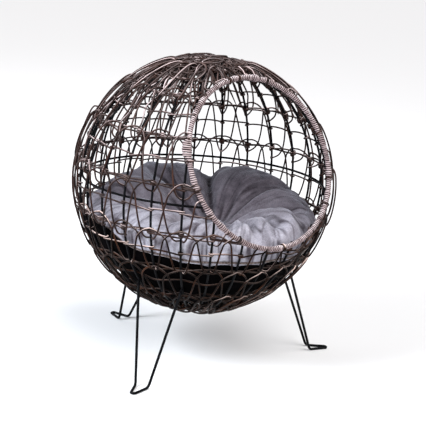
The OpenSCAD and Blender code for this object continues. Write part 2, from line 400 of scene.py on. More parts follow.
def base_cloth_material():
    """Black woven lining cloth."""
    paint = Paint("black_lining", Roughness=0.95, Specular_IOR_Level=0.02)
    at = paint.places()
    warp = paint.node("ShaderNodeTexWave", wave_type="BANDS", bands_direction="X", Scale=420.0)
    weft = paint.node("ShaderNodeTexWave", wave_type="BANDS", bands_direction="Z", Scale=420.0)
    for wave in (warp, weft):
        paint.links.new(at, wave.inputs["Vector"])
    weave = paint.mix(0.5, warp.outputs["Color"], weft.outputs["Color"])
    dust = paint.noise(at, (60, 60, 60), detail=5)
    colour = paint.ramp(dust, (0.35, (0.0003, 0.0002, 0.0003)), (0.75, (0.002, 0.0015, 0.002)))
    paint.set("Base Color", colour)
    paint.set("Normal", paint.bump(weave, 0.3, 0.0004))
    return paint.material


def seam_material():
    """The plush's backing, brownish and fuzzy where it is sewn to the lining."""
    paint = Paint("brown_seam", Roughness=0.95, Sheen_Weight=0.4, Specular_IOR_Level=0.1)
    fuzz = paint.noise(paint.places(), (300, 300, 300), detail=4)
    paint.set("Base Color", paint.ramp(fuzz, (0.35, (0.03, 0.02, 0.018)), (0.65, (0.22, 0.17, 0.16))))
    paint.set("Normal", paint.bump(fuzz, 0.6, 0.001))
    return paint.material


STEEL = steel_material()
CANE = wicker_material("brown_cane", dark=(0.006, 0.0022, 0.0018), middle=(0.021, 0.008, 0.0055),
                       light=(0.066, 0.028, 0.019), highlight_colour=(0.86, 0.71, 0.71), highlight_strength=0.95, start=0.25)
# A lit copy of the cane for the crown: lighter, with a broader and brighter painted highlight
LIT_CROWN_CANE = wicker_material("lit_crown_cane", dark=(0.008, 0.0032, 0.0028), middle=(0.033, 0.0165, 0.0135),
                           light=(0.11, 0.06, 0.048), highlight_colour=(0.95, 0.82, 0.83), highlight_strength=0.95, start=0.15)
# A shaded copy of the cane for the ball's lower part: darker, as painted shade, with a brighter painted
# highlight
SHADED_LOW_CANE = wicker_material("shaded_cane", dark=(0.002, 0.0008, 0.0005), middle=(0.007, 0.0027, 0.0014),
                           light=(0.08, 0.028, 0.011), highlight_colour=(1.0, 0.8, 0.74), highlight_strength=0.98, start=0.1,
                           gloss=0.06)
RIM_CANE = wicker_material("rim_cane", dark=(0.19, 0.135, 0.14), middle=(0.4, 0.315, 0.325),
                           light=(0.6, 0.5, 0.52), highlight_colour=(0.92, 0.84, 0.86), highlight_strength=0.9, start=0.2,
                           groove_shade=1.0)
PLUSH = plush_material()
LINING = base_cloth_material()
SEAM_FUZZ = seam_material()


# Strands low on the ball take the darker copy of the cane, as painted shade
def cane_at(lat):
    return CANE if lat > SHADE_LAT else SHADED_LOW_CANE


# ---- the opening's rim

def rim_at(angle):
    """The middle of the rim's tube, and the way out from there along the rim's plane."""
    outward = np.cos(angle)[:, None] * np.array([1.0, 0, 0]) + np.sin(angle)[:, None] * RIM_UP
    return RIM_MIDDLE + RIM_R * outward, outward


def from_axis(azimuth, lat):
    """How many degrees places on the ball lie from the opening's axis."""
    return np.degrees(np.arccos(np.clip(out_of(azimuth, lat) @ RIM_AXIS, -1, 1)))


# The share of the strand ends at the rim that are wound round it
WOUND_SHARE = 0.16


def tie(azimuth, lat, sense):
    """A strand's end at the rim: most tuck in under the wrapping, and some are wound round it once."""
    way = out_of(azimuth, lat)
    angle = math.atan2(way @ RIM_UP, way[0])
    if chance.rand() < WOUND_SHARE:
        beta = np.arange(25, 430, 40.0)
        depth = np.ones(len(beta))
    else:
        beta = np.arange(20, 150, 30.0)
        depth = np.linspace(1, 0.45, len(beta))
    drift = sense * (beta - 25) / 360 * 1.15 * STRAND / RIM_R
    middle, outward = rim_at(angle + drift)
    gamma = math.radians(RIM_ANGLE)
    away = math.cos(gamma) * outward - math.sin(gamma) * RIM_AXIS
    over = math.sin(gamma) * outward + math.cos(gamma) * RIM_AXIS
    b = np.radians(beta)[:, None]
    return middle + (RIM_D / 2 + STRAND / 2) * depth[:, None] * (np.cos(b) * away + np.sin(b) * over)


RIM_TURNS = 262
# Half the thickness and half the width of the flat cane round the rim
WRAP_THICK, WRAP_WIDE = 1.4 * MM, 1.6 * MM
# Where the wrapping also takes in the ends of the strands beside it: its latitudes, and how far it reaches
BUNDLE_LATS = (22.5, 30.5)
BUNDLE_REACH = 6.2 * MM


def rim_wrap():
    """Flat cane wound tightly round the rim's rod, and round the bundle of strand ends on its left."""
    per = 16  # points in each turn
    t = np.arange(RIM_TURNS * per) / per
    slip = np.repeat(draw(-0.1, 0.1, RIM_TURNS), per)
    slip = np.convolve(np.tile(slip, 3), np.ones(per) / per, "same")[len(t) : 2 * len(t)]
    angle = (t + slip) / RIM_TURNS * 2 * math.pi
    middle, outward = rim_at(angle)
    beta = (t * 2 * math.pi)[:, None]
    swell = np.repeat(draw(-0.1, 0.1, RIM_TURNS), per)[:, None] * MM
    for tied in draw(0, 2 * math.pi, 15):
        apart = (angle - tied + math.pi) % (2 * math.pi) - math.pi
        swell = swell + 1.1 * MM * np.exp(-((apart / 0.035) ** 2))[:, None]
    spoke = np.cos(beta) * outward + np.sin(beta) * RIM_AXIS
    path = middle + spoke * (RIM_D / 2 + 0.3 * MM - WRAP_THICK + swell)
    lat = np.degrees(np.arcsin(unit(middle - CENTRE)[:, 2]))
    inside = np.minimum(lat - BUNDLE_LATS[0], BUNDLE_LATS[1] - lat)
    reach = np.clip(inside / 1.2, 0, 1) * (middle[:, 0] < 0) * BUNDLE_REACH
    towards = unit(0.93 * outward - 0.37 * RIM_AXIS)
    path = path + towards * (reach * ((spoke * towards).sum(1) > 0))[:, None]
    tangent = unit(np.roll(path, -1, 0) - np.roll(path, 1, 0))
    side = unit(np.cross(tangent, spoke))
    tubes = Tubes()
    tubes.add(path, WRAP_WIDE, closed=True, axes=(spoke, side), aspect=WRAP_THICK / WRAP_WIDE)
    place(tubes.build("rim_winding", RIM_CANE), "basket", "rim_wicker", "rim_wrap")


# ---- horizontal strands

def wound_rib(azimuth, lat, rise):
    """Points of a strand that takes one turn round a rib, climbing by rise along it."""
    phi = np.arange(0, 361, 45.0)
    out, east, north = out_of(azimuth, lat), east_of(azimuth), north_of(azimuth, lat)
    climb = (phi / 360 - 0.5)[:, None] * rise
    p = np.radians(phi)[:, None]
    return CENTRE + RIB_R * out + WRAP_R * (np.cos(p) * out + np.sin(p) * east) + climb * north


def eye_knot(tubes, azimuth, lat, size):
    """Flat turns round a rib that bind the strands' feet to it."""
    turns = chance.choice([2, 2.5, 3])
    phi = np.arange(0, 360 * turns, 30.0) + draw(0, 360)
    out, east, north = out_of(azimuth, lat), east_of(azimuth), north_of(azimuth, lat)
    p = np.radians(phi)[:, None]
    climb = np.linspace(-0.5, 0.5, len(phi))[:, None] * turns * 0.93 * STRAND
    tilt = chance.normal(0, 0.16)
    wide, deep = size * draw(0.85, 1.15), WRAP_R + 0.9 * MM
    middle = CENTRE + (RIB_R + 0.8 * MM) * out
    turn = np.cos(p) * wide * (east + tilt * north) + np.sin(p) * deep * out
    lay(tubes, middle + turn + climb * north, per=2)


def opening_half(lat):
    """Half of the azimuth range that the opening takes out of a circle of latitude."""
    b = math.radians(lat)
    c = (math.cos(math.radians(RIM_ANGLE)) - math.sin(b) * math.sin(TILT)) / (math.cos(b) * math.cos(TILT))
    return math.degrees(math.acos(c)) if c < 1 else 0.0


def ring_strand(tubes, lat, lift=0.0):
    """A strand round the ball, wound round each rib, and tied off at the rim if it meets it."""
    cut = opening_half(lat)
    # from the front round and on, as a strand that the opening cuts starts just past it
    ribs = [FIRST_RIB + BAY * k for k in range(4, 4 + 2 * RIB_COUNT)]
    if cut:
        ribs = [a for a in ribs if cut + 2.2 < a < 360 - cut - 2.2]
    else:
        ribs = ribs[:RIB_COUNT]
    knots = []
    for azimuth in ribs:
        rise = 1.1 * STRAND * chance.choice([-1, 1])
        knots.append(wound_rib(azimuth, lat + chance.normal(0, 0.3), rise))
    points = []
    for k, knot in enumerate(knots):
        points.append(knot)
        if cut and k == len(knots) - 1:
            break
        start, end = knot[-1], knots[(k + 1) % len(knots)][0]
        bow = chance.normal(0.9, 0.8) * MM
        for f in (0.2, 0.5, 0.8):
            way = unit(start + (end - start) * f - CENTRE)
            radius = np.linalg.norm(start - CENTRE) + (draw(0.1, 0.5) * MM + lift)
            points.append([CENTRE + way * radius + [0, 0, 4 * f * (1 - f) * bow]])
    if cut:
        points.insert(0, tie(cut, lat, -1)[::-1])
        points.append(tie(-cut, lat, 1))
    lay(tubes, np.vstack(points), per=2, closed=not cut)


def eye_ring(tubes, lat):
    """A second strand close below the first, and a knot of turns on each rib."""
    ring_strand(tubes, lat - 0.75, 0.5 * MM)
    size = min(4.4 * MM, 0.17 * RIB_R * math.cos(math.radians(lat)) * math.radians(BAY))
    for azimuth in RIB_AZIMUTHS:
        if min(azimuth % 360, -azimuth % 360) > opening_half(lat) + 3:
            eye_knot(tubes, azimuth, lat + chance.normal(0, 0.25), size)


def ring_strands():
    for i, lat in enumerate(RING_LATS):
        tubes = Tubes()
        if lat > BASKET_LAT:
            ring_strand(tubes, lat)
            if lat in EYE_LATS:
                eye_ring(tubes, lat)
        else:
            side = 1 if i % 2 else -1
            basket_ring(tubes, lat, side)
            if lat in EYE_LATS:
                basket_ring(tubes, lat - 0.8, -side)
        made = tubes.build(f"cane_ring_{i + 1:02d}", cane_at(lat))
        place(made, "basket", "wicker", f"ring_strand_{i + 1:02d}")


# ---- looping strands

# A loop's outline from its round top to its narrow foot: how far along it is, and how far down
LOOP_WAY = [0, 0.12, 0.25, 0.38, 0.5, 0.57, 0.63, 0.68, 0.74, 0.82, 0.91, 1]
LOOP_FALL = [0, 0.012, 0.045, 0.105, 0.2, 0.37, 0.55, 0.7, 0.845, 0.935, 0.985, 1]
# How far from the ball's centre a strand lies that touches the ribs from outside
LOOP_TOUCH = RIB_R + WRAP_R
LOOP_PER_BAY = 18
# How far each band of loops bulges out between its eye rings, in millimetres
BULGES = [7, 8.5, 11.5, 8.5, 3.5, 3, 2.5]
# How far each band's feet hang below its lower eye ring, in degrees
FOOT_DROPS = [4.4, 4.4, 4.4, 3.4, 1.2, 1.6, 2.5]


def loop_runs(top, foot, shift, bulge, foot_in):
    """Points of one looping strand, split where the opening cuts it, without the shortest pieces."""
    k = np.arange(RIB_COUNT * LOOP_PER_BAY)
    t = k / LOOP_PER_BAY
    turn = np.round(t / 2) * 2
    u = np.abs(t - turn)
    rising = np.where(t < turn, 1.0, -1.0)
    tops = chance.normal(0, 0.7, RIB_COUNT + 2)
    feet = chance.normal(0, 0.8, RIB_COUNT + 2)
    tops[RIB_COUNT:] = tops[:2]
    high = top + tops[turn.astype(int)]
    low = foot + feet[(turn - rising).astype(int) % RIB_COUNT]
    lat = high + (low - high) * np.interp(u, LOOP_WAY, LOOP_FALL)
    lean = np.repeat(chance.normal(0, 0.09, RIB_COUNT), LOOP_PER_BAY)
    swing = np.sin(math.pi * u)
    azimuth = FIRST_RIB + BAY * (t + shift + lean * swing**2)
    out_bow = np.repeat(draw(0.75, 1.3, RIB_COUNT), LOOP_PER_BAY) * bulge
    weave = 0.56 * STRAND * rising * np.minimum(1, 1.8 * swing)
    r = LOOP_TOUCH + 0.2 * MM + out_bow * swing**0.7 + weave
    near = np.clip((u - 0.84) / 0.13, 0, 1)
    r = r + foot_in * near * near * (3 - 2 * near)
    kept = from_axis(azimuth, lat) > RIM_ANGLE + 1.4
    if kept.all():
        yield azimuth, lat, r, True
        return
    run = []
    for index in [*np.roll(k, -np.argmin(kept)), None]:
        if index is not None and kept[index]:
            run.append(index)
            continue
        if len(run) > 7:
            yield azimuth[run], lat[run], r[run], False
        run = []


def looping_strand(tubes, top, foot, shift, bulge, foot_in):
    """One strand that swings up and down round the ball, with its cut ends tied to the rim."""
    for azimuth, lat, r, closed in loop_runs(top, foot, shift, bulge, foot_in):
        path = on_ball(azimuth, lat, r)
        if not closed:
            start = tie(azimuth[0], lat[0], chance.choice([-1, 1]))
            end = tie(azimuth[-1], lat[-1], chance.choice([-1, 1]))
            path = np.vstack([start[::-1], path, end])
        lay(tubes, path, per=2, closed=closed)


def looping_strands():
    for i, (upper, lower) in enumerate(zip(EYE_LATS, EYE_LATS[1:])):
        tubes = Tubes()
        rise, foot_in = (1.9, -6.6 * MM) if upper > BASKET_LAT else (0.3, 1.5 * MM)
        for shift in (0, 1):
            looping_strand(tubes, upper + rise, lower - FOOT_DROPS[i], shift, BULGES[i] * MM, foot_in)
        made = tubes.build(f"cane_loops_{i + 1}", cane_at(lower))
        place(made, "basket", "wicker", f"loop_strands_{i + 1}")


# ---- crown and base

def basket_ring(tubes, lat, side):
    """A strand that passes over one rib and under the next."""
    t = np.arange(RIB_COUNT * 6) / 6
    wander = np.interp(t, np.arange(RIB_COUNT), chance.normal(0, 0.3, RIB_COUNT), period=RIB_COUNT)
    r = RIB_R + side * WRAP_R * np.cos(math.pi * t)
    tubes.add(on_ball(FIRST_RIB + BAY * t, lat + wander, r), STRAND / 2, closed=True)


# The hub rings' radius, and half the thickness of their rod
HUB_R = 30 * MM
HUB_ROD_R = 2.5 * MM


def hub_basket(tubes, lats):
    """Close basket rings, and a strand wound round the hub ring once in each bay."""
    for i, lat in enumerate(lats):
        basket_ring(tubes, lat, 1 if i % 2 else -1)
    t = np.arange(RIB_COUNT * 10) / 10
    phi = (t * 2 * math.pi)[:, None]
    azimuth = FIRST_RIB + t * BAY + BAY / 2
    lat = np.sign(lats[0]) * math.degrees(math.acos(HUB_R / RIB_R))
    out, north = out_of(azimuth, lat), north_of(azimuth, lat)
    puff = np.repeat(draw(0, 2.2, RIB_COUNT), 10)[:, None] * MM
    coil = (HUB_ROD_R + STRAND / 2 + puff) * (np.cos(phi) * out + np.sin(phi) * north)
    tubes.add(CENTRE + RIB_R * out + coil, STRAND / 2, closed=True)


def bulging(u, bulge):
    """How far out a loose strand lies, with its ends at u = -1 and 1 tucked in between the ribs."""
    return LOOP_TOUCH + bulge * np.cos(math.pi / 2 * u) ** 0.7 - 5 * MM * np.abs(u) ** 9


def stray_arc(tubes, azimuth, width, low, high, bulge, lift):
    """A loose arc over the weave: up from low, over at high, and down again further round."""
    u = np.linspace(-1, 1, 15)
    lat = low + (high - low) * (1 - np.abs(u) ** draw(1.8, 3.2))
    skew = chance.normal(0, 0.12)
    a = azimuth + width * (u + skew * (1 - u * u))
    r = lift + bulging(u, bulge)
    if (from_axis(a, lat) > RIM_ANGLE + RIM_GAP).all():
        lay(tubes, on_ball(a, lat, r))


def curl(tubes, azimuth, lat, reach):
    """A loose curl over the weave, part of a circle of reach degrees round a place on the ball."""
    middle, east, north = out_of(azimuth, lat), east_of(azimuth), north_of(azimuth, lat)
    u = np.linspace(-1, 1, 17)
    phi = draw(0, 2 * math.pi) + np.radians(draw(90, 165)) * u
    rho = np.radians(reach * (1 + 0.25 * chance.normal() * u))[:, None]
    way = np.cos(rho) * middle + np.sin(rho) * (np.cos(phi)[:, None] * east + np.sin(phi)[:, None] * north)
    r = bulging(u, draw(2, 9) * MM)
    if (np.degrees(np.arccos(way @ RIM_AXIS)) > RIM_ANGLE + RIM_GAP).all():
        lay(tubes, CENTRE + way * r[:, None])


def rim_companions():
    """Strands that run along the rim's lower right, among the ends that are bound to it."""
    tubes = Tubes()
    for k in range(9):
        first, last = np.sort(draw(-85, 30, 2)) + [-12, 12]
        t = np.linspace(0, 1, 15)
        angle = np.radians(first + (last - first) * t)
        outward = rim_at(angle)[1]
        wide = np.radians(RIM_ANGLE + 3.4 + 0.8 * k + draw(0.5, 2.5) * np.sin(math.pi * t * 2 + k))
        way = np.cos(wide)[:, None] * RIM_AXIS + np.sin(wide)[:, None] * outward
        r = LOOP_TOUCH + draw(0.5, 3) * MM * np.sin(math.pi * t) ** 0.5
        lay(tubes, CENTRE + way * r[:, None])
    place(tubes.build("rim_companions", SHADED_LOW_CANE), "basket", "wicker")


def rib_companion(tubes, azimuth, low, high, side):
    """A strand that climbs beside a rib and sways from side to side, and in and out."""
    lat = np.linspace(low, high, int((high - low) / 1.6))
    aside = side * (3.4 + 1.5 * np.sin(lat * draw(0.25, 0.4) + draw(0, 6))) * MM
    out = RIB_R + (1.5 + 2.5 * np.sin(lat * 0.33 + draw(0, 6))) * MM
    out = out - np.maximum(0, 1 - (lat - low) / 2) * 3 * MM
    a = azimuth + np.degrees(aside / (RIB_R * np.cos(np.radians(lat))))
    kept = from_axis(a, lat) > RIM_ANGLE + RIM_GAP
    if kept.sum() > 4:
        first, last = np.argmax(kept), len(kept) - np.argmax(kept[::-1])
        if kept[first:last].all():
            lay(tubes, on_ball(a, lat, out)[first:last])


def crown():
    """Close rings round the top hub, under a tangle of strand ends, arcs and curls."""
    tubes = Tubes()
    hub_basket(tubes, np.arange(74.5, 80.6, 1.0))
    for azimuth in RIB_AZIMUTHS:
        for side in (-2.2, -1, 1, 2.2):
            rib_companion(tubes, azimuth, chance.choice([31, 41.5, 52, 62]), draw(76, 82), side)
        stray_arc(tubes, azimuth + BAY * draw(0.5, 1.5), BAY * draw(1.4, 2.8), chance.choice([31, 41.5, 52]),
                  draw(66, 80), draw(4, 9) * MM, draw(0, 2) * MM)
        stray_arc(tubes, azimuth + draw(-5, 5), BAY * draw(0.9, 1.7), draw(56, 66), draw(74, 80),
                  draw(4, 8) * MM, draw(0, 2) * MM)
        curl(tubes, azimuth + draw(-7, 7), draw(58, 72), draw(4, 10))
        curl(tubes, azimuth + draw(-7, 7), draw(68, 86), draw(4, 9))
    place(tubes.build("crown_basketry", LIT_CROWN_CANE), "basket", "wicker", "crown_weave")


def base():
    """Close rings round the bottom hub, a last band of loops, and a stray arc for each rib."""
    tubes = Tubes()
    ring_strand(tubes, EYE_LATS[-1])
    ring_strand(tubes, EYE_LATS[-1] - 0.9, 0.5 * MM)
    hub_basket(tubes, np.arange(-71.5, -80.6, -1.3))
    for shift in (0, 1):
        looping_strand(tubes, -64, -78, shift, 2 * MM, 0)
    for azimuth in RIB_AZIMUTHS:
        stray_arc(tubes, azimuth + draw(-5, 5), BAY * draw(0.9, 1.5), -draw(50, 62), -draw(68, 80),
                  draw(2, 8) * MM, 0)
    place(tubes.build("base_basketry", SHADED_LOW_CANE), "basket", "wicker", "base_weave")


# ---- steel

def steel_frame():
    """The ribs, hubs and rings stay the CAD's own, in black steel."""
    for name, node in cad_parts.items():
        if name.startswith("rib_") or name in ("top_hub", "bottom_hub", "waist_ring", "rim_ring"):
            node.data.materials.clear()
            node.data.materials.append(STEEL)


# ---- legs

# For each leg: the rib that it stands under, the way its foot points, and its ankles' radius in mm
LEGS = {"leg_front_left": (0, -58.8, 214), "leg_right": (9, 66, 220), "leg_rear": (17, -175.3, 198)}
WIRE = 4.6 * MM
WIRE_STEP = 12 * MM
WELD_LAT, WELD_SINK = -41.4, 0.4 * MM
FOOT_LENGTH = 38 * MM
HEEL_HALF = 11.5 * MM
TOE_R = 4.5 * MM


def leg_wire(name, own_rib, foot_azimuth, ankle_r):
    """One wire, bent to a foot on the floor and welded to the ribs each side of its own."""
    own = FIRST_RIB + own_rib * BAY
    outward = out_of(foot_azimuth, 0)
    aside = east_of(foot_azimuth)
    low = np.array([0, 0, WIRE / 2])
    toe_middle = outward * (ankle_r + FOOT_LENGTH - TOE_R - WIRE / 2) + low
    weld_r = RIB_R + ROD / 2 + WIRE / 2 - WELD_SINK
    weld = [on_ball(own + s * BAY, WELD_LAT, weld_r) for s in (-1, 1)]
    ankle = [outward * ankle_r + aside * s * HEEL_HALF + low for s in (-1, 1)]
    toe = [toe_middle + aside * s * TOE_R for s in (-1, 1)]
    tip = np.radians(np.arange(0, 181, 20))[:, None]
    round_toe = toe_middle + TOE_R * (np.sin(tip) * outward - np.cos(tip) * aside)
    path = np.vstack([weld[0], corner(weld[0], ankle[0], toe[0]), round_toe,
                      corner(toe[1], ankle[1], weld[1]), weld[1]])
    spaced = [path[0]]
    for a, b in zip(path, path[1:]):
        steps = max(1, int(np.linalg.norm(b - a) / WIRE_STEP))
        spaced += [a + (b - a) * k / steps for k in range(1, steps + 1)]
    tubes = Tubes()
    tubes.add(np.array(spaced), WIRE / 2, sides=20)
    for at in weld:
        weld_bead(tubes, at, WIRE * 0.62)
    place(tubes.build(name + "_wire", STEEL), "basket", "black_steel", name)


def corner(a, b, c, radius=9 * MM, steps=8):
    """Points of a rounded bend at b, on the way from a to c."""
    into, onward = unit(b - a), unit(c - b)
    turn = math.acos(into @ onward)
    inward = unit(np.cross(np.cross(into, onward), into))
    centre = b - into * radius * math.tan(turn / 2) + radius * inward
    angle = (np.arange(steps + 1) / steps * turn)[:, None]
    return centre + radius * (np.sin(angle) * into - np.cos(angle) * inward)


def weld_bead(tubes, at, r):
    """A small uneven blob of weld."""
    z = np.linspace(-1, 1, 9)
    path = at + np.outer(z, [0.3 * r, 0.2 * r, r])
    tubes.add(path, r * np.sqrt(np.maximum(0.02, 1 - z * z)) * draw(0.85, 1.1, 9), sides=10)


# ---- cushion

# Heights here are from the ball's centre
SEAM_Z = -76 * MM
PINCH = np.array([19.0, -15.0, -66.0]) * MM
CUSHION_R = 200 * MM
# The cushion stays within this distance of the ball's centre, clear of the ribs
INNER_R = RIB_R - ROD / 2 - 1.2 * MM
# The lining lies this far from the ball's centre, presses out between the ribs, and has a flat floor
LINING_R = 209 * MM
LINING_PRESS = 4.5
FLOOR_LAT = math.radians(73.6)
# The size of the lining's inner side, where 1 is its outer side
INNER_SIDE = 0.988
PIPING_R = 1.9 * MM
# The furthest that the simulation moves a point of the cover
MOST_PUFF = 20 * MM
# How far out the top turns down into the side, where 1 is the cushion's edge, and by how much
SHOULDER, EDGE_FALL = 0.74, 24 * MM
FOLD_DEPTH = 22 * MM
GATHER_COUNT, GATHER_DEPTH = 26, 11 * MM
# The azimuth where the lists of heights round the cushion begin, and the heights in millimetres: its
# edge stands up in two lobes, and its seam dips at the front and rises on the left
JOIN = -220
EDGE_AZIMUTHS = [-220, -200, -188, -178, -165, -145, -130, -98, -60, -30, 0, 40, 70, 90, 100, 115, 128, 140]
EDGE_HEIGHTS = [-18, -6, -2, -4, -10, -20, -27, -33, -36, -38, -38, -30, -20, -9, -4, -1, -5, -18]
SEAM_AZIMUTHS = [-220, -180, -140, -118, -100, -87, -77, -66, -44, -20, 15, 40, 70, 100, 140]
SEAM_HEIGHTS = [-72, -68, -62, -57, -57, -60, -72, -81, -84, -87, -90, -86, -78, -74, -72]
# The folds that run out from the pinched centre: the way each one runs, and how far out
FOLDS = np.array([(-170, 0.8), (-150, 0.5), (-128, 0.9), (-97, 0.8), (-66, 0.95), (-38, 0.8), (-14, 0.95),
                  (10, 0.97), (34, 0.97), (60, 0.95), (82, 0.97), (99, 0.5), (115, 0.4), (138, 0.95),
                  (160, 0.55)])


def height_round(azimuth, azimuths, heights):
    return np.interp((azimuth - JOIN) % 360 + JOIN, azimuths, heights) * MM


def seam_height(azimuth):
    return height_round(azimuth, SEAM_AZIMUTHS, SEAM_HEIGHTS)


def wave_sum(angle, seed, terms, low):
    """A smooth closed wave round the cushion, between about -1 and 1."""
    own = np.random.RandomState(seed)
    total = 0 * angle
    for n in range(low, low + terms):
        total = total + own.uniform(0.4, 1) * np.cos(n * angle + own.uniform(0, 6.28))
    return total / terms**0.5 / 0.7


def lobes(azimuth, count, sharpness):
    """Even lobes round the cushion, 0 in the folds between them."""
    v = azimuth * count / 360 % 1
    return (4 * v * (1 - v)) ** sharpness


def gathers(azimuth, sharpness):
    """The puffs between the gathers at the seam, which aren't quite even."""
    return lobes(azimuth + 13 + 5 * np.sin(3 * np.radians(azimuth)), GATHER_COUNT, sharpness)


def folded(s, azimuth, width):
    """How deep in a fold, from 0 to 1, a place of the cover lies that is s of the way out."""
    swirl = 48 * (s - 0.4) * np.maximum(0, np.cos(np.radians(azimuth - 22))) ** 2
    run = azimuth + swirl + 7 * np.sin(math.pi * s) * np.sin(2 * np.radians(azimuth) + 1)
    apart = (run[..., None] - FOLDS[:, 0] + 180) % 360 - 180
    apart = np.radians(apart) * np.asarray(s)[..., None] * CUSHION_R
    apart = np.where(apart > 0, apart / 1.5, -apart / 0.6)
    left = np.clip((FOLDS[:, 1] - np.asarray(s)[..., None]) / 0.22, 0, 1)
    return (np.exp(-((apart / width) ** 2)) * left).max(-1)


def cushion_surface():
    """Rows of points of the plush cover, from the pinched centre out and down to the seam."""
    n = 14 * RIB_COUNT
    azimuth = np.arange(n) / n * 360 - 180
    angle = np.radians(azimuth)
    edge = height_round(azimuth, EDGE_AZIMUTHS, EDGE_HEIGHTS)
    edge = np.convolve(np.tile(edge, 3), np.ones(15) / 15, "same")[n : 2 * n]
    rim_r = CUSHION_R * (1 + 0.006 * wave_sum(angle, 3, 5, 5))
    rows = []
    for s in np.linspace(0, 1, 46)[1:]:
        crease = folded(s, azimuth, (7 + 8 * s) * MM)
        small_lobes = lobes(azimuth + 35 * s + 15, 24, 0.6)
        rise = math.sin(math.pi / 2 * min(1, s / SHOULDER)) ** 1.7
        fall = (max(0, s - SHOULDER) / (1 - SHOULDER)) ** 2.3
        depth = math.sin(math.pi * min(1, s**0.72 * 0.96)) ** 0.8
        z = PINCH[2] + (edge + 4 * MM - PINCH[2]) * rise - fall * EDGE_FALL
        z = z + depth * (3 * MM + 2.5 * MM * (small_lobes - 0.6))
        z = z - FOLD_DEPTH * crease * min(1, s / 0.16) * min(1, (1.08 - s) / 0.3)
        z = z + (2.2 + 2.5 * s**3) * MM * wave_sum(angle + 2 * s, 11, 6, 9) * s
        x = PINCH[0] * (1 - s) + rim_r * s * np.sin(angle)
        y = PINCH[1] * (1 - s) - rim_r * s * np.cos(angle)
        rows.append(np.stack([x, y, z], -1))
    shoulder = rows[-1][:, 2]
    pucker = 0.7 * gathers(azimuth, 0.5) + 0.3 * lobes(azimuth, 54, 0.5)
    for f in np.linspace(0, 1, 14)[1:]:
        z = shoulder + (seam_height(azimuth) - shoulder) * f
        belly = 1.8 * MM * math.sin(math.pi * f) - 5.0 * MM * f**1.6
        r = rim_r + belly + GATHER_DEPTH * (pucker - 0.95) * math.sin(math.pi * min(1, f + 0.2)) ** 0.6
        r = np.minimum(r, np.sqrt(INNER_R**2 - z**2))
        wavy = 2.4 * MM * wave_sum(angle, 21, 6, 6) * f
        rows.append(np.stack([r * np.sin(angle), -r * np.cos(angle), z + wavy], -1))
    return azimuth, rows


def close_rows(rows, first, last):
    """A closed mesh from rows of points round an axis, with a point at each end."""
    n = len(rows[0])
    points = np.vstack([[first], *rows, [last]])
    faces = [[0, 1 + k, 1 + (k + 1) % n] for k in range(n)]
    for i in range(len(rows) - 1):
        a, b = 1 + i * n, 1 + (i + 1) * n
        faces += [[a + k, b + k, b + (k + 1) % n, a + (k + 1) % n] for k in range(n)]
    end = len(points) - 1
    a = 1 + (len(rows) - 1) * n
    faces += [[a + k, end, a + (k + 1) % n] for k in range(n)]
    return points, faces


def cover_place(points):
    """How far out from the pinched centre points of the cover lie, from 0 to 1, and which way."""
    s = np.full(len(points), 0.5)
    for _ in range(6):
        x = points[:, 0] - PINCH[0] * (1 - s)
        y = points[:, 1] - PINCH[1] * (1 - s)
        s = np.clip(np.hypot(x, y) / CUSHION_R, 0, 1)
    return s, np.degrees(np.arctan2(x, -y))


def held_down(own, width):
    """How firmly, from 0 to 1, the folds and the gathers at the seam hold points of the cover."""
    s, azimuth = cover_place(own)
    height = (own[:, 2] - seam_height(azimuth)) / (36 * MM)
    gathered = np.clip(1.4 - height, 0, 1) * (1 - gathers(azimuth, 1)) ** 4 * (s > 0.8)
    return np.maximum(folded(s, azimuth, width), gathered)


def rumples(own):
    """Small creases that run outwards and down the cushion's side: how dark they make each point of the
    cover, as painted shade in the creases and darker streaks of pile, and how far they move it."""
    s, azimuth = cover_place(own)
    turned = np.radians(azimuth + 25 * s)
    ways = np.stack([np.sin(turned), np.cos(turned), 0.3 * s - own[:, 2] * 1.2], -1)
    deep, broad, fine, streaks = [np.array([noise.noise(Vector(p)) for p in (ways + 3) * scale])
                                  for scale in ([9, 9, 9], [6, 6, 12], [24, 24, 16], [60, 60, 20])]
    depth = 1 - np.minimum(1, np.abs(deep) * 6)
    side = np.clip((s - 0.3) / 0.5, 0, 1) * np.clip((own[:, 2] - seam_height(azimuth)) / (9 * MM), 0, 1)
    # Painted shade in the creases' depth, and darker streaks of pile
    dark = 0.75 * depth * side + (0.75 * fine + 0.3 * streaks) * np.minimum(1, s * 4)
    return dark, unit(own - [0, 0, SEAM_Z]) * ((7 * broad - 4.5 * depth) * MM * side)[:, None]


def vertices_of(mesh):
    return np.array([v.co for v in mesh.vertices])


def apply_modifier(obj, kind, **values):
    """Changes a mesh by one modifier, for good."""
    modifier = obj.modifiers.new(kind.lower(), kind)
    give(modifier, **values)
    bpy.ops.object.modifier_apply(modifier=modifier.name)


def pin(cover, own):
    """Pins the cover for the cloth simulation at its pinched centre, folds, gathers and seam."""
    s, azimuth = cover_place(own)
    held = np.maximum(held_down(own, 5 * MM), np.clip(1.6 - s * CUSHION_R / (12 * MM), 0, 1))
    held[own[:, 2] < seam_height(azimuth) + 7 * MM] = 1
    group = cover.vertex_groups.new(name="held")
    for level in range(1, 11):
        picked = np.nonzero(np.round(held * 10) == level)[0]
        group.add(picked.tolist(), level / 10, "REPLACE")


